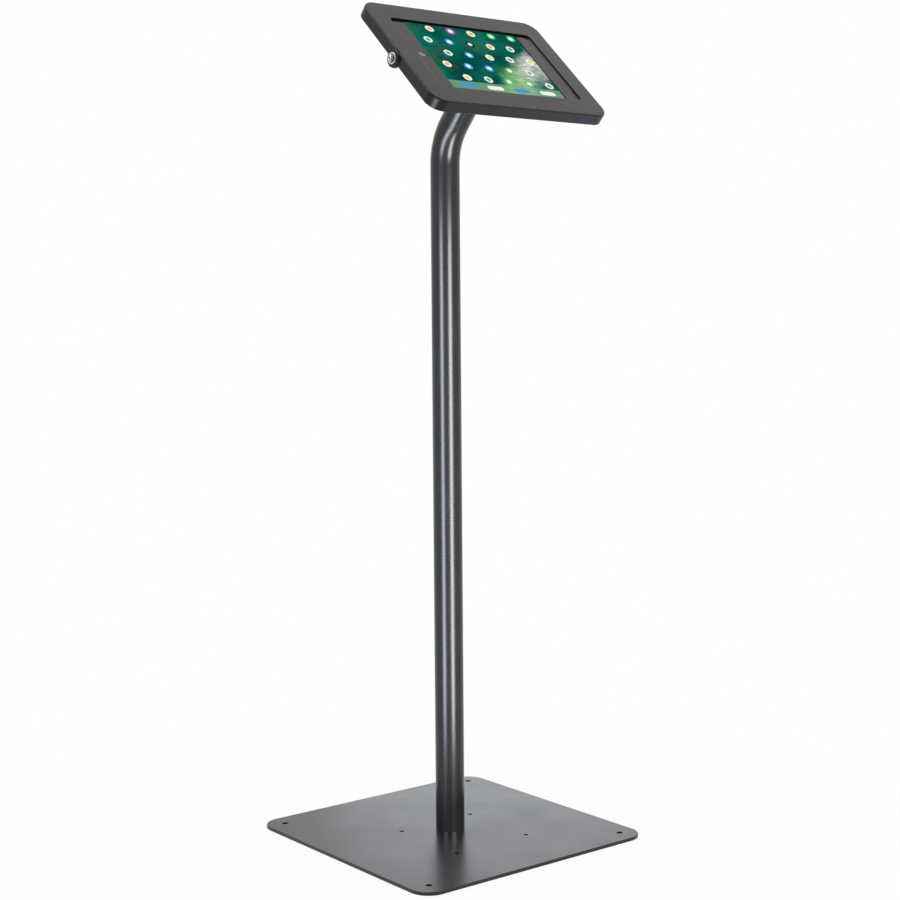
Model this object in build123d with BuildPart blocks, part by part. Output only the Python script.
from build123d import *
from math import atan2, cos, degrees, radians, sin
import os

os.makedirs("parts", exist_ok=True)

# Floor plate and its feet
plate_side = 400.0
plate_thick = 5.0
plate_corner_r = 30.0
plate_edge_r = 0.8
anchor_set_in = 27.5
anchor_hole_r = 4.5
bracket_spacing = 127.0
bracket_hole_r = 3.25
bracket_forward = 31.0
foot_set_in = 50.0
foot_r = 11.0
foot_thick = 1.5
foot_edge = 0.4

# Bent pole and the plug welded into its foot
pole_r = 20.7
pole_wall = 2.0
pole_bend_r = 80.0
pole_lean = 42.5
pole_corner_z = 988.4
pole_leg = 118.9
plug_thick = 16.0
plug_gap = 0.1
pole_screw_r = 4.0
pole_screw_circle_r = 11.0
pole_screw_length = 17.0
pole_screw_head_r = 7.8
pole_screw_head_h = 3.8
pole_screw_socket_r = 2.9
pole_screw_socket_depth = 2.2
pole_screw_count = 3

# Flange on the pole's top end, with the bolts that carry the head
flange_side = 100.0
flange_thick = 4.0
flange_corner_r = 10.0
weld_size = 3.0
weld_toe = 0.6
weld_gap = 0.05
head_bolt_set_in = 12.5
head_bolt_r = 2.5
head_bolt_head_r = 4.6
head_bolt_head_h = 2.6
head_bolt_length = 12.5
head_bolt_socket_r = 1.7
head_bolt_socket_depth = 1.4
washer_r = 5.0
washer_thick = 1.0
nut_across = 8.0
nut_thick = 4.0
hole_gap = 0.25
thread_gap = 0.05

# Front cover, whose window leaves a gap at the tablet's sides and laps over its long edges
cover_depth = 16.5
cover_wall = 2.5
cover_corner_r = 21.0
cover_front_r = 2.0
cover_rear_r = 1.2
window_side_gap = 3.0
window_lap = 8.75
window_corner_r = 8.0
window_edge = 0.4

# Tray behind the tablet
tray_gap = 0.8
tray_thick = 2.0
tray_rim_wall = 1.5
tray_rim_h = 9.5
tray_inner_r = 1.0

# Barrel hinge along the cover's rear right edge
hinge_length = 120.0
hinge_knuckles = 5
hinge_knuckle_r = 3.0
hinge_pin_r = 1.5
hinge_pin_edge = 0.3
hinge_set_back = 1.0
hinge_bore_gap = 0.05
hinge_end_gap = 0.4
hinge_cover_relief = 0.3
hinge_tray_relief = 0.6

# Cam lock on the cover's left wall
lock_v = -3.4
lock_h = 3.9
boss_r = 11.8
boss_height = 3.0
boss_flare = 0.8
boss_edge_r = 0.8
lock_disc_r = 7.8
lock_disc_h = 1.5
lock_disc_edge = 0.5
lock_hub_r = 5.2
lock_hub_h = 1.6
lock_hub_edge = 0.4
lock_body_r = 5.6
lock_plug_r = 3.6
lock_plug_gap = 0.05
lock_plug_proud = 1.4
lock_plug_edge = 0.5
lock_tail_r = 2.6
lock_tail_gap = 0.05
lock_end_wall = 1.6
lock_end_play = 0.1
lock_end_proud = 0.5
lock_nut_across = 13.6
lock_nut_thick = 3.0
lock_thread_gap = 0.05
keyway_width = 1.5
keyway_length = 5.0
keyway_depth = 4.5
cam_thick = 1.8
cam_width = 4.6
cam_reach = 5.6
cam_hub_r = 2.8
cam_gap = 0.2
cam_square = 3.6
cam_square_gap = 0.05
cam_screw_r = 1.2
cam_screw_head_r = 2.4
cam_screw_head_h = 1.5
cam_screw_depth = 5.0

# Keeper that the cam turns under, and its screws
keeper_thick = 1.5
keeper_width = 5.0
keeper_foot = 16.0
keeper_clear = 0.3
keeper_screw_r = 1.25
keeper_screw_head_r = 2.2
keeper_screw_head_h = 1.3
keeper_screw_spacing = 7.0
side_room = 8.7
notch_gap = 0.75
notch_depth = 7.7

# Tablet body
tablet_width = 240.0
tablet_length = 169.5
tablet_thick = 7.5
tablet_corner_r = 9.0
tablet_back_r = 3.0
tablet_wall = 3.0
tablet_back_thick = 0.9
tablet_rim = 1.3
tablet_rim_edge = 0.3
glass_thick = 0.9
glass_gap = 0.1
bezel_gap = 0.3
display_side_border = 18.5
display_end_border = 7.25
display_thick = 2.2
battery_end_room = 28.75
battery_thick = 2.9
battery_gap = 4.0
battery_board_gap = 7.0
battery_corner_r = 3.0
battery_count = 3
board_width = 16.0
board_end_room = 15.75
board_thick = 1.2
board_set_in = 14.0
board_corner_r = 2.0
chip_side = 11.0
chip_thick = 1.1
chip_end_room = 17.0
chip_count = 4

# Home button, in the border left of the display
home_place_share = 0.584
home_ring_r = 6.4
home_ring_wall = 0.6
home_gap = 0.08
home_sunk = 0.1
home_dish = 0.4
home_body_h = 2.2
home_flange_r = 6.2
home_flange_h = 0.6
home_travel = 0.3
home_switch_r = 3.4
home_switch_gap = 0.1
home_hole_gap = 0.1

# Keys on the tablet's edges
key_length = 10.5
key_height = 2.4
key_proud = 0.5
key_gap = 0.08
key_flange_extra = 0.8
key_flange_h = 0.8
key_lift = 0.2
volume_set_in = 28.0
volume_spacing = 16.0
power_set_in = 24.75

# Socket and lenses of the tablet
socket_width = 9.0
socket_height = 3.2
socket_wall = 0.5
socket_depth = 4.2
socket_floor = 0.8
front_lens_set_in = 10.8
front_lens_r = 1.6
rear_lens_set_in = 12.0
rear_lens_r = 3.5
lens_gap = 0.1

# Foam that holds the tablet, and the cable's way out
foam_side = 18.5
foam_end = 19.1
foam_gap = 0.4
foam_top_gap = 0.5
foam_rim_gap = 0.3
foam_corner_r = 14.0
foam_pocket = 3.0
foam_key_room = 6.0
pad_side_room = 25.0
pad_bolt_gap = 7.9
pad_length = 18.0
pad_corner_r = 4.0
cable_v = 19.0
cable_room = 40.0
cable_room_v = 12.0
cable_hole_r = 8.0
grommet_bore_r = 6.0
grommet_lip_r = 9.4
grommet_lip_h = 1.2
grommet_gap = 0.05

hex_corner_share = 1.1547
screw_edge_share = 0.33
overrun = 2.0
bevel_angle = 45.0

# Levels from the floor
plate_bottom_z = foot_thick
plate_top_z = plate_bottom_z + plate_thick

# The head's own plane: its origin is the centre of the tray's back, +z points out of the face
lean = radians(pole_lean)
leg_direction = Vector(0, -sin(lean), cos(lean))
pole_corner = Vector(0, 0, pole_corner_z)
head_origin = pole_corner + leg_direction * (pole_leg + flange_thick)
head = Plane(origin=head_origin, x_dir=(1, 0, 0), z_dir=leg_direction)
head_axis = Axis(head.origin, head.z_dir)

# Widths and lengths, from the tablet outwards
foam_width = tablet_width + 2 * foam_side
foam_length = tablet_length + 2 * foam_end
cover_width = foam_width + 2 * (side_room + tray_rim_wall + tray_gap + cover_wall)
cover_length = foam_length + 2 * (foam_rim_gap + tray_inner_r + tray_rim_wall + tray_gap + cover_wall)
window_width = tablet_width + 2 * window_side_gap
window_length = tablet_length - 2 * window_lap
display_width = tablet_width - 2 * display_side_border
display_length = tablet_length - 2 * display_end_border

# Levels over the tray's back, and half sizes across the head
window_underside_h = cover_depth - cover_wall
tablet_front_h = window_underside_h - bezel_gap
tablet_back_h = tablet_front_h - tablet_thick
tablet_floor_h = tablet_back_h + tablet_back_thick
glass_bottom_h = tablet_front_h - glass_thick
display_bottom_h = glass_bottom_h - display_thick
foam_top_h = window_underside_h - foam_top_gap
cover_inner_u = cover_width / 2 - cover_wall
cover_inner_v = cover_length / 2 - cover_wall
tray_half_u = cover_inner_u - tray_gap
tray_half_v = cover_inner_v - tray_gap
tray_corner_r = cover_corner_r - cover_wall - tray_gap
hinge_u = cover_width / 2 - hinge_knuckle_r
hinge_h = -hinge_set_back
key_h = (tablet_floor_h + glass_bottom_h) / 2 + key_lift


def head_point(u, v, h):
    return head.from_local_coords(Vector(u, v, h))


# Planes whose normals point left, along -u, and down the slope, along -v
def left_plane(u, v, h):
    return Plane(origin=head_point(u, v, h), x_dir=head.y_dir, z_dir=-head.x_dir)


def right_plane(u, v, h):
    return Plane(origin=head_point(u, v, h), x_dir=head.y_dir, z_dir=head.x_dir)


def lower_plane(u, v, h):
    return Plane(origin=head_point(u, v, h), x_dir=head.x_dir, z_dir=-head.y_dir)


# Foot pads under the plate's corners
foot_spacing = plate_side - 2 * foot_set_in

with BuildPart() as foot_pads:
    with BuildSketch(Plane.XY):
        with GridLocations(foot_spacing, foot_spacing, 2, 2):
            Circle(foot_r)
    extrude(amount=foot_thick)
    chamfer(foot_pads.faces().filter_by(Axis.Z).group_by(Axis.Z)[0].edges(), foot_edge)
foot_pads.part.label = "foot_pads"
export_step(foot_pads.part, "parts/foot_pads.step")


# Floor plate, with holes for floor anchors, an accessory bracket and the pole's screws
anchor_spacing = plate_side - 2 * anchor_set_in
plate_underside = Plane(origin=(0, 0, plate_bottom_z), x_dir=(1, 0, 0), z_dir=(0, 0, -1))
countersink_angle = 2 * degrees(atan2(pole_screw_head_r - pole_screw_r, pole_screw_head_h))

with BuildPart() as base_plate:
    with BuildSketch(Plane.XY.offset(plate_bottom_z)):
        RectangleRounded(plate_side, plate_side, plate_corner_r)
    extrude(amount=plate_thick)
    fillet(base_plate.faces().filter_by(Axis.Z).edges(), plate_edge_r)
    with BuildSketch(Plane.XY.offset(plate_bottom_z)):
        with GridLocations(anchor_spacing, anchor_spacing, 2, 2):
            Circle(anchor_hole_r)
        with Locations((0, -bracket_forward)):
            with GridLocations(bracket_spacing, bracket_spacing, 2, 2):
                Circle(bracket_hole_r)
    extrude(amount=plate_thick, mode=Mode.SUBTRACT)
    with Locations(plate_underside):
        with PolarLocations(pole_screw_circle_r, pole_screw_count):
            CounterSinkHole(
                pole_screw_r + hole_gap, pole_screw_head_r + hole_gap,
                plate_thick + overrun, countersink_angle,
            )
base_plate.part.label = "base_plate"
export_step(base_plate.part, "parts/base_plate.step")


# Countersunk screws from beneath the plate into the pole's plug
with BuildPart() as pole_screws:
    with Locations((0, 0, plate_bottom_z)):
        with PolarLocations(pole_screw_circle_r, pole_screw_count):
            Cone(
                pole_screw_head_r, pole_screw_r, pole_screw_head_h,
                align=(Align.CENTER, Align.CENTER, Align.MIN),
            )
            Cylinder(pole_screw_r, pole_screw_length, align=(Align.CENTER, Align.CENTER, Align.MIN))
    with BuildSketch(Plane.XY.offset(plate_bottom_z)):
        with PolarLocations(pole_screw_circle_r, pole_screw_count):
            RegularPolygon(pole_screw_socket_r, 6)
    extrude(amount=pole_screw_socket_depth, mode=Mode.SUBTRACT)
pole_screws.part.label = "pole_screws"
export_step(pole_screws.part, "parts/pole_screws.step")


# Tapped steel plug in the pole's foot
with BuildPart() as pole_plug:
    with BuildSketch(Plane.XY.offset(plate_top_z)):
        Circle(pole_r - pole_wall - plug_gap)
        with PolarLocations(pole_screw_circle_r, pole_screw_count):
            Circle(pole_screw_r + thread_gap, mode=Mode.SUBTRACT)
    extrude(amount=plug_thick)
pole_plug.part.label = "pole_plug"
export_step(pole_plug.part, "parts/pole_plug.step")


# Steel tube, upright and then bent forward to meet the head square on
with BuildPart() as pole:
    with BuildLine():
        pole_path = FilletPolyline(
            (0, 0, plate_top_z),
            pole_corner,
            pole_corner + leg_direction * pole_leg,
            radius=pole_bend_r,
        )
    with BuildSketch(Plane.XY.offset(plate_top_z)):
        Circle(pole_r)
        Circle(pole_r - pole_wall, mode=Mode.SUBTRACT)
    sweep(path=pole_path)
pole.part.label = "pole"
export_step(pole.part, "parts/pole.step")


# Flange welded to the pole's top end, with its weld bead
head_bolt_spacing = flange_side - 2 * head_bolt_set_in

with BuildPart() as head_flange:
    with BuildSketch(head.offset(-flange_thick)):
        RectangleRounded(flange_side, flange_side, flange_corner_r)
        with GridLocations(head_bolt_spacing, head_bolt_spacing, 2, 2):
            Circle(head_bolt_r + hole_gap, mode=Mode.SUBTRACT)
    extrude(amount=flange_thick)
    with Locations(head.offset(-flange_thick)):
        Cone(
            pole_r + weld_toe, pole_r + weld_size, weld_size,
            align=(Align.CENTER, Align.CENTER, Align.MAX),
        )
        Cylinder(
            pole_r + weld_gap, weld_size,
            align=(Align.CENTER, Align.CENTER, Align.MAX), mode=Mode.SUBTRACT,
        )
head_flange.part.label = "head_flange"
export_step(head_flange.part, "parts/head_flange.step")


# Pan head bolts through the tray and the flange
with BuildPart() as head_bolts:
    with BuildSketch(head.offset(tray_thick)):
        with GridLocations(head_bolt_spacing, head_bolt_spacing, 2, 2):
            Circle(head_bolt_head_r)
    extrude(amount=head_bolt_head_h)
    fillet(
        head_bolts.faces().filter_by(head).group_by(head_axis)[-1].edges(),
        head_bolt_head_h * screw_edge_share,
    )
    with BuildSketch(head.offset(tray_thick)):
        with GridLocations(head_bolt_spacing, head_bolt_spacing, 2, 2):
            Circle(head_bolt_r)
    extrude(amount=-head_bolt_length)
    with BuildSketch(head.offset(tray_thick + head_bolt_head_h)):
        with GridLocations(head_bolt_spacing, head_bolt_spacing, 2, 2):
            RegularPolygon(head_bolt_socket_r, 6)
    extrude(amount=-head_bolt_socket_depth, mode=Mode.SUBTRACT)
head_bolts.part.label = "head_bolts"
export_step(head_bolts.part, "parts/head_bolts.step")


# Washers and nuts behind the flange
with BuildPart() as head_washers:
    with BuildSketch(head.offset(-flange_thick)):
        with GridLocations(head_bolt_spacing, head_bolt_spacing, 2, 2):
            Circle(washer_r)
            Circle(head_bolt_r + hole_gap, mode=Mode.SUBTRACT)
    extrude(amount=-washer_thick)
head_washers.part.label = "head_washers"
export_step(head_washers.part, "parts/head_washers.step")

with BuildPart() as head_nuts:
    with BuildSketch(head.offset(-flange_thick - washer_thick)):
        with GridLocations(head_bolt_spacing, head_bolt_spacing, 2, 2):
            RegularPolygon(nut_across / 2, 6, major_radius=False)
            Circle(head_bolt_r + thread_gap, mode=Mode.SUBTRACT)
    extrude(amount=-nut_thick)
head_nuts.part.label = "head_nuts"
export_step(head_nuts.part, "parts/head_nuts.step")


# Hinge: the barrel is shared out in equal lengths, the even ones on the tray and the odd ones on the cover
knuckle_pitch = hinge_length / hinge_knuckles
tray_knuckles = range(0, hinge_knuckles, 2)
cover_knuckles = range(1, hinge_knuckles, 2)


def hinge_plane(v):
    return Plane(origin=head_point(hinge_u, v, hinge_h), x_dir=head.x_dir, z_dir=head.y_dir)


def knuckle_start(index):
    return index * knuckle_pitch - hinge_length / 2


def knuckle_rods(indexes, radius, extra, mode):
    for index in indexes:
        with BuildSketch(hinge_plane(knuckle_start(index) - extra)) as rod:
            Circle(radius)
        extrude(rod.sketch, amount=knuckle_pitch + 2 * extra, mode=mode)


# Tray: a shallow dish behind the tablet, with its share of the hinge barrel
tray_width = 2 * tray_half_u
tray_length = 2 * tray_half_v
notch_length = lock_nut_across * hex_corner_share + 2 * notch_gap
cable_u = -(foam_width / 2 + tablet_width / 2) / 2
keeper_post_v = lock_v - notch_length / 2
keeper_screw_v = keeper_post_v - keeper_thick - keeper_foot / 2
keeper_u = -(cover_inner_u - lock_nut_thick - lock_end_proud - keeper_clear)

with BuildPart() as back_tray:
    with BuildSketch(head):
        RectangleRounded(tray_width, tray_length, tray_corner_r)
    extrude(amount=tray_thick + tray_rim_h)
    with BuildSketch(head.offset(tray_thick)):
        RectangleRounded(
            tray_width - 2 * tray_rim_wall, tray_length - 2 * tray_rim_wall, tray_corner_r - tray_rim_wall
        )
    extrude(amount=tray_rim_h, mode=Mode.SUBTRACT)
    fillet(back_tray.faces().filter_by(head).sort_by(head_axis)[1].edges(), tray_inner_r)
    with BuildSketch(head):
        with GridLocations(head_bolt_spacing, head_bolt_spacing, 2, 2):
            Circle(head_bolt_r + hole_gap)
        with Locations((cable_u, cable_v)):
            Circle(cable_hole_r)
        with Locations((keeper_u + keeper_width / 2, keeper_screw_v)):
            with GridLocations(0, keeper_screw_spacing, 1, 2):
                Circle(keeper_screw_r + thread_gap)
    extrude(amount=tray_thick, mode=Mode.SUBTRACT)
    with BuildSketch(head):
        with Locations((-tray_half_u, lock_v)):
            Rectangle(2 * notch_depth, notch_length)
    extrude(amount=tray_thick + tray_rim_h, mode=Mode.SUBTRACT)
    knuckle_rods(cover_knuckles, hinge_knuckle_r + hinge_tray_relief, 0, Mode.SUBTRACT)
    knuckle_rods(tray_knuckles, hinge_knuckle_r, -hinge_end_gap / 2, Mode.ADD)
    knuckle_rods(tray_knuckles, hinge_pin_r + hinge_bore_gap, overrun, Mode.SUBTRACT)
back_tray.part.label = "back_tray"
export_step(back_tray.part, "parts/back_tray.step")


# Front cover: a shell with the window, the lock's boss and its share of the hinge barrel
boss_plane = Plane(
    origin=head_point(-cover_width / 2, lock_v, lock_h), x_dir=head.y_dir, z_dir=head.z_dir
)
boss_axis = Axis(boss_plane.origin, -head.x_dir)
boss_root_r = boss_r + boss_flare
boss_shoulder_h = cover_depth - cover_front_r / 2

with BuildPart() as front_cover:
    with BuildSketch(head):
        RectangleRounded(cover_width, cover_length, cover_corner_r)
    extrude(amount=cover_depth)
    fillet(front_cover.faces().sort_by(head_axis)[-1].edges(), cover_front_r)
    fillet(front_cover.faces().sort_by(head_axis)[0].edges(), cover_rear_r)
    with BuildSketch(boss_plane):
        with BuildLine():
            Polyline((0, boss_height), (0, -cover_wall), (boss_root_r, -cover_wall), (boss_root_r, 0))
            RadiusArc((boss_root_r, 0), (boss_r, boss_flare), boss_flare)
            Line((boss_r, boss_flare), (boss_r, boss_height - boss_edge_r))
            RadiusArc((boss_r, boss_height - boss_edge_r), (boss_r - boss_edge_r, boss_height), -boss_edge_r)
            Line((boss_r - boss_edge_r, boss_height), (0, boss_height))
        make_face()
    revolve(axis=boss_axis)
    with BuildSketch(head.offset(boss_shoulder_h)):
        with Locations((-cover_width / 2 - boss_height / 2 - overrun / 2, lock_v)):
            Rectangle(boss_height + overrun, 2 * boss_root_r + overrun)
    extrude(amount=boss_r, mode=Mode.SUBTRACT)
    with BuildSketch(head.offset(-boss_root_r)):
        RectangleRounded(2 * cover_inner_u, 2 * cover_inner_v, cover_corner_r - cover_wall)
    extrude(amount=boss_root_r + window_underside_h, mode=Mode.SUBTRACT)
    with BuildSketch(head.offset(window_underside_h)):
        RectangleRounded(window_width, window_length, window_corner_r)
    extrude(amount=cover_wall, mode=Mode.SUBTRACT)
    with BuildSketch(head.offset(cover_depth)):
        RectangleRounded(
            window_width + 2 * window_edge, window_length + 2 * window_edge, window_corner_r + window_edge
        )
    extrude(amount=-window_edge, taper=bevel_angle, mode=Mode.SUBTRACT)
    with BuildSketch(left_plane(-cover_inner_u, lock_v, lock_h)):
        Circle(lock_body_r + lock_thread_gap)
    extrude(amount=cover_wall + boss_height, mode=Mode.SUBTRACT)
    knuckle_rods(tray_knuckles, hinge_knuckle_r + hinge_cover_relief, hinge_end_gap / 2, Mode.SUBTRACT)
    knuckle_rods(cover_knuckles, hinge_knuckle_r, -hinge_end_gap / 2, Mode.ADD)
    knuckle_rods(cover_knuckles, hinge_pin_r + hinge_bore_gap, overrun, Mode.SUBTRACT)
front_cover.part.label = "front_cover"
export_step(front_cover.part, "parts/front_cover.step")


# Hinge pin through all the knuckles
with BuildPart() as hinge_pin:
    with BuildSketch(hinge_plane(-hinge_length / 2)):
        Circle(hinge_pin_r)
    extrude(amount=hinge_length)
    chamfer(hinge_pin.edges().filter_by(GeomType.CIRCLE), hinge_pin_edge)
hinge_pin.part.label = "hinge_pin"
export_step(hinge_pin.part, "parts/hinge_pin.step")


# Lock barrel: a stepped disc on the boss, with its threaded body through the wall
lock_body_end = cover_wall + lock_nut_thick + lock_end_proud
lock_bore_end = lock_body_end - lock_end_wall
lock_face = boss_height + lock_disc_h + lock_hub_h
lock_base = left_plane(-cover_width / 2, lock_v, lock_h)

with BuildPart() as lock_barrel:
    with BuildSketch(lock_base.offset(boss_height)):
        Circle(lock_disc_r)
    extrude(amount=lock_disc_h)
    fillet(
        lock_barrel.edges().filter_by(GeomType.CIRCLE).sort_by(boss_axis)[-1], lock_disc_edge
    )
    with BuildSketch(lock_base.offset(boss_height + lock_disc_h)):
        Circle(lock_hub_r)
    extrude(amount=lock_hub_h)
    fillet(
        lock_barrel.edges().filter_by(GeomType.CIRCLE).sort_by(boss_axis)[-1], lock_hub_edge
    )
    with BuildSketch(lock_base.offset(-lock_body_end)):
        Circle(lock_body_r)
    extrude(amount=lock_body_end + boss_height)
    with BuildSketch(lock_base.offset(-lock_bore_end)):
        Circle(lock_plug_r + lock_plug_gap)
    extrude(amount=lock_bore_end + lock_face, mode=Mode.SUBTRACT)
    with BuildSketch(lock_base.offset(-lock_body_end)):
        Circle(lock_tail_r + lock_tail_gap)
    extrude(amount=lock_end_wall, mode=Mode.SUBTRACT)
lock_barrel.part.label = "lock_barrel"
export_step(lock_barrel.part, "parts/lock_barrel.step")


# Hexagonal nut that clamps the barrel to the cover's wall
with BuildPart() as lock_nut:
    with BuildSketch(lock_base.offset(-cover_wall)):
        RegularPolygon(lock_nut_across / 2, 6, major_radius=False)
        Circle(lock_body_r + lock_thread_gap, mode=Mode.SUBTRACT)
    extrude(amount=-lock_nut_thick)
lock_nut.part.label = "lock_nut"
export_step(lock_nut.part, "parts/lock_nut.step")


# Turning plug with its keyway, tail and square end
cam_start = lock_body_end + cam_gap
cam_end = cam_start + cam_thick
plug_shoulder = lock_bore_end - lock_end_play

with BuildPart() as lock_plug:
    with BuildSketch(lock_base.offset(-plug_shoulder)):
        Circle(lock_plug_r)
    extrude(amount=plug_shoulder + lock_face + lock_plug_proud)
    chamfer(lock_plug.edges().filter_by(GeomType.CIRCLE).sort_by(boss_axis)[-1], lock_plug_edge)
    with BuildSketch(lock_base.offset(-cam_start)):
        Circle(lock_tail_r)
    extrude(amount=cam_start - plug_shoulder)
    with BuildSketch(lock_base.offset(-cam_end)):
        Rectangle(cam_square, cam_square)
    extrude(amount=cam_thick)
    with BuildSketch(lock_base.offset(-cam_end)):
        Circle(cam_screw_r + thread_gap)
    extrude(amount=cam_screw_depth, mode=Mode.SUBTRACT)
    with BuildSketch(lock_base.offset(lock_face + lock_plug_proud)):
        SlotOverall(keyway_length, keyway_width)
    extrude(amount=-keyway_depth, mode=Mode.SUBTRACT)
lock_plug.part.label = "lock_plug"
export_step(lock_plug.part, "parts/lock_plug.step")


# Cam on the plug's square, and the screw that holds it; unlocked, the cam points into the tray's notch
with BuildPart() as lock_cam:
    with BuildSketch(lock_base.offset(-cam_end)):
        Rectangle(cam_width, cam_reach, align=(Align.CENTER, Align.MIN))
        Circle(cam_reach, mode=Mode.INTERSECT)
        Circle(cam_hub_r)
        Rectangle(cam_square + 2 * cam_square_gap, cam_square + 2 * cam_square_gap, mode=Mode.SUBTRACT)
    extrude(amount=cam_thick)
lock_cam.part.label = "lock_cam"
export_step(lock_cam.part, "parts/lock_cam.step")

with BuildPart() as cam_screw:
    with BuildSketch(lock_base.offset(-cam_end)):
        Circle(cam_screw_head_r)
    extrude(amount=-cam_screw_head_h)
    fillet(
        cam_screw.edges().filter_by(GeomType.CIRCLE).sort_by(boss_axis)[0],
        cam_screw_head_h * screw_edge_share,
    )
    with BuildSketch(lock_base.offset(-cam_end)):
        Circle(cam_screw_r)
    extrude(amount=cam_screw_depth)
cam_screw.part.label = "cam_screw"
export_step(cam_screw.part, "parts/cam_screw.step")


# Keeper: a bent strip on the tray, whose ledge the cam turns under
keeper_ledge_h = lock_h + cam_width / 2 + keeper_clear
keeper_ledge_v = lock_v - cam_hub_r - keeper_clear
keeper_profile = Plane(origin=head_point(keeper_u, 0, 0), x_dir=head.y_dir, z_dir=head.x_dir)

with BuildPart() as lock_keeper:
    with BuildSketch(keeper_profile):
        with BuildLine():
            Polyline(
                (keeper_ledge_v, keeper_ledge_h),
                (keeper_post_v, keeper_ledge_h),
                (keeper_post_v, tray_thick),
                (keeper_post_v - keeper_thick - keeper_foot, tray_thick),
                (keeper_post_v - keeper_thick - keeper_foot, tray_thick + keeper_thick),
                (keeper_post_v - keeper_thick, tray_thick + keeper_thick),
                (keeper_post_v - keeper_thick, keeper_ledge_h + keeper_thick),
                (keeper_ledge_v, keeper_ledge_h + keeper_thick),
                close=True,
            )
        make_face()
    extrude(amount=keeper_width)
    with BuildSketch(head.offset(tray_thick)):
        with Locations((keeper_u + keeper_width / 2, keeper_screw_v)):
            with GridLocations(0, keeper_screw_spacing, 1, 2):
                Circle(keeper_screw_r + thread_gap)
    extrude(amount=keeper_thick, mode=Mode.SUBTRACT)
lock_keeper.part.label = "lock_keeper"
export_step(lock_keeper.part, "parts/lock_keeper.step")

with BuildPart() as keeper_screws:
    with BuildSketch(head.offset(tray_thick + keeper_thick)):
        with Locations((keeper_u + keeper_width / 2, keeper_screw_v)):
            with GridLocations(0, keeper_screw_spacing, 1, 2):
                Circle(keeper_screw_head_r)
    extrude(amount=keeper_screw_head_h)
    fillet(
        keeper_screws.faces().filter_by(head).group_by(head_axis)[-1].edges(),
        keeper_screw_head_h * screw_edge_share,
    )
    with BuildSketch(head):
        with Locations((keeper_u + keeper_width / 2, keeper_screw_v)):
            with GridLocations(0, keeper_screw_spacing, 1, 2):
                Circle(keeper_screw_r)
    extrude(amount=tray_thick + keeper_thick)
keeper_screws.part.label = "keeper_screws"
export_step(keeper_screws.part, "parts/keeper_screws.step")


# Tablet shell: an aluminium tub with a glass seat, key slots, a socket slot and a camera hole
glass_width = tablet_width - 2 * tablet_rim
glass_length = tablet_length - 2 * tablet_rim
glass_corner_r = tablet_corner_r - tablet_rim
home_u = display_side_border * home_place_share - tablet_width / 2
volume_up_u = tablet_width / 2 - volume_set_in
volume_down_u = volume_up_u - volume_spacing
power_v = power_set_in - tablet_length / 2
front_lens_u = tablet_width / 2 - front_lens_set_in
rear_lens_u = tablet_width / 2 - rear_lens_set_in
rear_lens_v = rear_lens_set_in - tablet_length / 2

with BuildPart() as tablet_shell:
    with BuildSketch(head.offset(tablet_back_h)):
        RectangleRounded(tablet_width, tablet_length, tablet_corner_r)
    extrude(amount=tablet_thick)
    fillet(tablet_shell.faces().sort_by(head_axis)[0].edges(), tablet_back_r)
    chamfer(tablet_shell.faces().sort_by(head_axis)[-1].edges(), tablet_rim_edge)
    with BuildSketch(head.offset(glass_bottom_h)):
        RectangleRounded(glass_width, glass_length, glass_corner_r)
    extrude(amount=glass_thick, mode=Mode.SUBTRACT)
    with BuildSketch(head.offset(tablet_floor_h)):
        RectangleRounded(
            tablet_width - 2 * tablet_wall, tablet_length - 2 * tablet_wall, tablet_corner_r - tablet_wall
        )
    extrude(amount=glass_bottom_h - tablet_floor_h, mode=Mode.SUBTRACT)
    with BuildSketch(left_plane(-tablet_width / 2, 0, key_h)):
        SlotOverall(socket_width + 2 * key_gap, socket_height + 2 * key_gap)
    extrude(amount=-tablet_wall, mode=Mode.SUBTRACT)
    for key_u in (volume_up_u, volume_down_u):
        with BuildSketch(lower_plane(key_u, -tablet_length / 2, key_h)):
            SlotOverall(key_length + 2 * key_gap, key_height + 2 * key_gap)
        extrude(amount=-tablet_wall, mode=Mode.SUBTRACT)
    with BuildSketch(right_plane(tablet_width / 2, power_v, key_h)):
        SlotOverall(key_length + 2 * key_gap, key_height + 2 * key_gap)
    extrude(amount=-tablet_wall, mode=Mode.SUBTRACT)
    with BuildSketch(head.offset(tablet_back_h)):
        with Locations((rear_lens_u, rear_lens_v)):
            Circle(rear_lens_r + lens_gap)
    extrude(amount=tablet_back_thick, mode=Mode.SUBTRACT)
tablet_shell.part.label = "tablet_shell"
export_step(tablet_shell.part, "parts/tablet_shell.step")


# Front glass, with holes for the home button and the front lens
with BuildPart() as tablet_glass:
    with BuildSketch(head.offset(glass_bottom_h)):
        RectangleRounded(
            glass_width - 2 * glass_gap, glass_length - 2 * glass_gap, glass_corner_r - glass_gap
        )
        with Locations((home_u, 0)):
            Circle(home_ring_r + home_hole_gap, mode=Mode.SUBTRACT)
        with Locations((front_lens_u, 0)):
            Circle(front_lens_r + lens_gap, mode=Mode.SUBTRACT)
    extrude(amount=glass_thick)
tablet_glass.part.label = "tablet_glass"
export_step(tablet_glass.part, "parts/tablet_glass.step")


# Display panel under the glass
with BuildPart() as tablet_display:
    with BuildSketch(head.offset(display_bottom_h)):
        Rectangle(display_width, display_length)
    extrude(amount=display_thick)
tablet_display.part.label = "tablet_display"
export_step(tablet_display.part, "parts/tablet_display.step")


# Battery cells side by side on the shell's floor
board_u = tablet_width / 2 - board_set_in
battery_pitch = (2 * (board_u - board_width / 2 - battery_board_gap) + battery_gap) / battery_count
battery_width = battery_pitch - battery_gap
battery_length = tablet_length - 2 * battery_end_room

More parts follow.
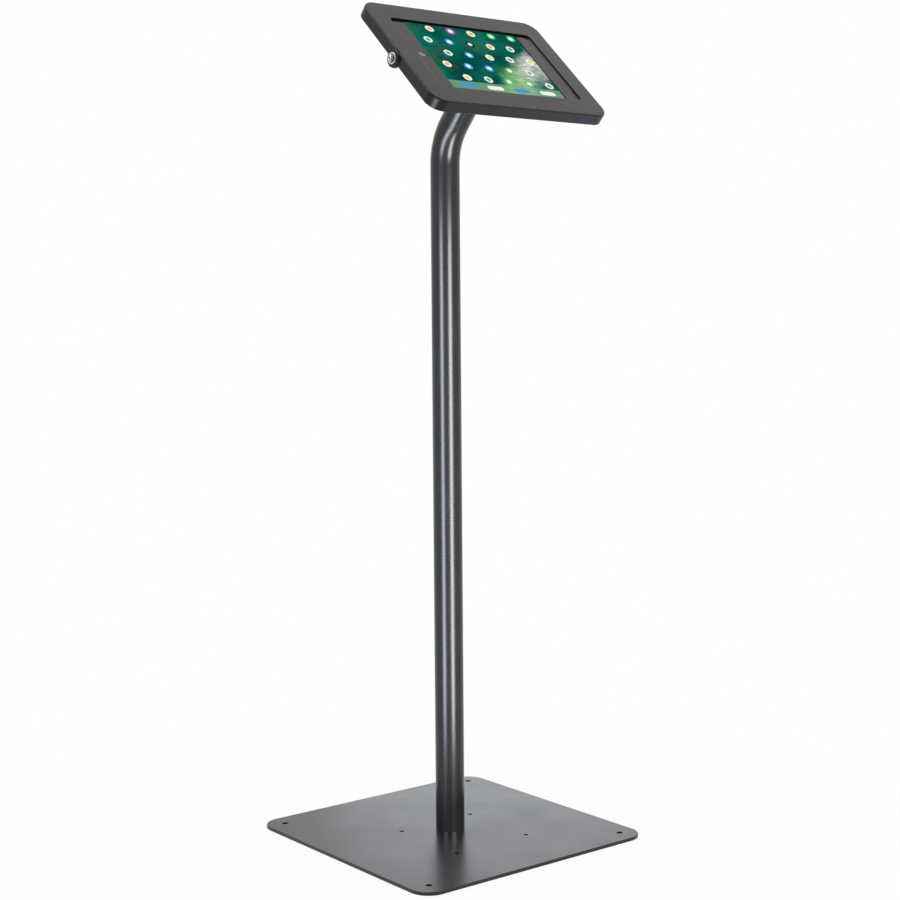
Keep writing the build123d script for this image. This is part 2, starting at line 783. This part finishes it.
with BuildPart() as tablet_battery:
    with BuildSketch(head.offset(tablet_floor_h)):
        with GridLocations(battery_pitch, 0, battery_count, 1):
            RectangleRounded(battery_width, battery_length, battery_corner_r)
    extrude(amount=battery_thick)
tablet_battery.part.label = "tablet_battery"
export_step(tablet_battery.part, "parts/tablet_battery.step")


# Circuit board beside the battery, with its row of chips
board_length = tablet_length - 2 * board_end_room
chip_pitch = (board_length - 2 * chip_end_room) / chip_count

with BuildPart() as tablet_board:
    with BuildSketch(head.offset(tablet_floor_h)):
        with Locations((board_u, 0)):
            RectangleRounded(board_width, board_length, board_corner_r)
    extrude(amount=board_thick)
    with BuildSketch(head.offset(tablet_floor_h + board_thick)):
        with Locations((board_u, 0)):
            with GridLocations(0, chip_pitch, 1, chip_count):
                Rectangle(chip_side, chip_side)
    extrude(amount=chip_thick)
tablet_board.part.label = "tablet_board"
export_step(tablet_board.part, "parts/tablet_board.step")


# Charging socket in the tablet's left edge
with BuildPart() as charge_socket:
    with BuildSketch(left_plane(-tablet_width / 2, 0, key_h)):
        SlotOverall(socket_width, socket_height)
    extrude(amount=-socket_depth)
    with BuildSketch(left_plane(-tablet_width / 2, 0, key_h)):
        SlotOverall(socket_width - 2 * socket_wall, socket_height - 2 * socket_wall)
    extrude(amount=socket_floor - socket_depth, mode=Mode.SUBTRACT)
charge_socket.part.label = "charge_socket"
export_step(charge_socket.part, "parts/charge_socket.step")


# Ring round the home button, the dished button itself and the switch below it
home_cap_r = home_ring_r - home_ring_wall - home_gap
home_top_h = tablet_front_h - home_sunk
home_flange_top_h = home_top_h - home_body_h
home_dish_ball_r = (home_cap_r ** 2 + home_dish ** 2) / (2 * home_dish)

with BuildPart() as home_ring:
    with BuildSketch(head.offset(glass_bottom_h)):
        with Locations((home_u, 0)):
            Circle(home_ring_r)
            Circle(home_ring_r - home_ring_wall, mode=Mode.SUBTRACT)
    extrude(amount=glass_thick)
home_ring.part.label = "home_ring"
export_step(home_ring.part, "parts/home_ring.step")

with BuildPart() as home_button:
    with BuildSketch(head.offset(home_flange_top_h)):
        with Locations((home_u, 0)):
            Circle(home_cap_r)
    extrude(amount=home_body_h)
    with Locations(head_point(home_u, 0, home_top_h - home_dish + home_dish_ball_r)):
        Sphere(home_dish_ball_r, mode=Mode.SUBTRACT)
    with BuildSketch(head.offset(home_flange_top_h - home_flange_h)):
        with Locations((home_u, 0)):
            Circle(home_flange_r)
    extrude(amount=home_flange_h)
home_button.part.label = "home_button"
export_step(home_button.part, "parts/home_button.step")

with BuildPart() as home_switch:
    with BuildSketch(head.offset(tablet_floor_h)):
        with Locations((home_u, 0)):
            Circle(home_switch_r)
    extrude(
        amount=home_flange_top_h - home_flange_h - home_travel - home_switch_gap - tablet_floor_h
    )
home_switch.part.label = "home_switch"
export_step(home_switch.part, "parts/home_switch.step")


# Keys in the tablet's edges: a capsule that stands proud, kept in by a flange behind the wall
def edge_key(face):
    with BuildPart() as key:
        with BuildSketch(face.offset(key_proud)):
            SlotOverall(key_length, key_height)
        extrude(amount=-(key_proud + tablet_wall + key_gap))
        with BuildSketch(face.offset(-tablet_wall - key_gap)):
            SlotOverall(key_length + 2 * key_flange_extra, key_height + 2 * key_flange_extra)
        extrude(amount=-key_flange_h)
    return key.part


volume_up_key = edge_key(lower_plane(volume_up_u, -tablet_length / 2, key_h))
volume_up_key.label = "volume_up_key"
export_step(volume_up_key, "parts/volume_up_key.step")

volume_down_key = edge_key(lower_plane(volume_down_u, -tablet_length / 2, key_h))
volume_down_key.label = "volume_down_key"
export_step(volume_down_key, "parts/volume_down_key.step")

power_key = edge_key(right_plane(tablet_width / 2, power_v, key_h))
power_key.label = "power_key"
export_step(power_key, "parts/power_key.step")


# Lenses of the front and rear cameras
with BuildPart() as front_lens:
    with BuildSketch(head.offset(glass_bottom_h)):
        with Locations((front_lens_u, 0)):
            Circle(front_lens_r)
    extrude(amount=glass_thick)
front_lens.part.label = "front_lens"
export_step(front_lens.part, "parts/front_lens.step")

with BuildPart() as rear_lens:
    with BuildSketch(head.offset(tablet_back_h)):
        with Locations((rear_lens_u, rear_lens_v)):
            Circle(rear_lens_r)
    extrude(amount=tablet_back_thick)
rear_lens.part.label = "rear_lens"
export_step(rear_lens.part, "parts/rear_lens.step")


# Foam frame round the tablet, with pockets at its keys and room for the cable at its socket
key_pocket_length = volume_up_u - volume_down_u + key_length + foam_key_room

with BuildPart() as foam_frame:
    with BuildSketch(head.offset(tray_thick)):
        RectangleRounded(foam_width, foam_length, foam_corner_r)
        RectangleRounded(
            tablet_width + 2 * foam_gap, tablet_length + 2 * foam_gap, tablet_corner_r + foam_gap,
            mode=Mode.SUBTRACT,
        )
        with Locations(((volume_up_u + volume_down_u) / 2, -tablet_length / 2)):
            Rectangle(key_pocket_length, 2 * foam_pocket, mode=Mode.SUBTRACT)
        with Locations((tablet_width / 2, power_v)):
            Rectangle(2 * foam_pocket, key_length + foam_key_room, mode=Mode.SUBTRACT)
        with Locations((cable_u, cable_room_v)):
            Rectangle(foam_width - tablet_width, cable_room, mode=Mode.SUBTRACT)
    extrude(amount=foam_top_h - tray_thick)
foam_frame.part.label = "foam_frame"
export_step(foam_frame.part, "parts/foam_frame.step")


# Foam strips between the tray and the tablet's back
pad_width = tablet_width - 2 * pad_side_room
pad_spacing = head_bolt_spacing + 2 * (head_bolt_head_r + pad_bolt_gap) + pad_length

with BuildPart() as back_pads:
    with BuildSketch(head.offset(tray_thick)):
        with GridLocations(0, pad_spacing, 1, 2):
            RectangleRounded(pad_width, pad_length, pad_corner_r)
    extrude(amount=tablet_back_h - tray_thick)
back_pads.part.label = "back_pads"
export_step(back_pads.part, "parts/back_pads.step")


# Rubber grommet where a charging cable can leave the tray
with BuildPart() as cable_grommet:
    with BuildSketch(head.offset(-grommet_lip_h)):
        with Locations((cable_u, cable_v)):
            Circle(grommet_lip_r)
    extrude(amount=grommet_lip_h)
    with BuildSketch(head):
        with Locations((cable_u, cable_v)):
            Circle(cable_hole_r - grommet_gap)
    extrude(amount=tray_thick)
    with BuildSketch(head.offset(tray_thick)):
        with Locations((cable_u, cable_v)):
            Circle(grommet_lip_r)
    extrude(amount=grommet_lip_h)
    with BuildSketch(head.offset(-grommet_lip_h)):
        with Locations((cable_u, cable_v)):
            Circle(grommet_bore_r)
    extrude(amount=tray_thick + 2 * grommet_lip_h, mode=Mode.SUBTRACT)
cable_grommet.part.label = "cable_grommet"
export_step(cable_grommet.part, "parts/cable_grommet.step")
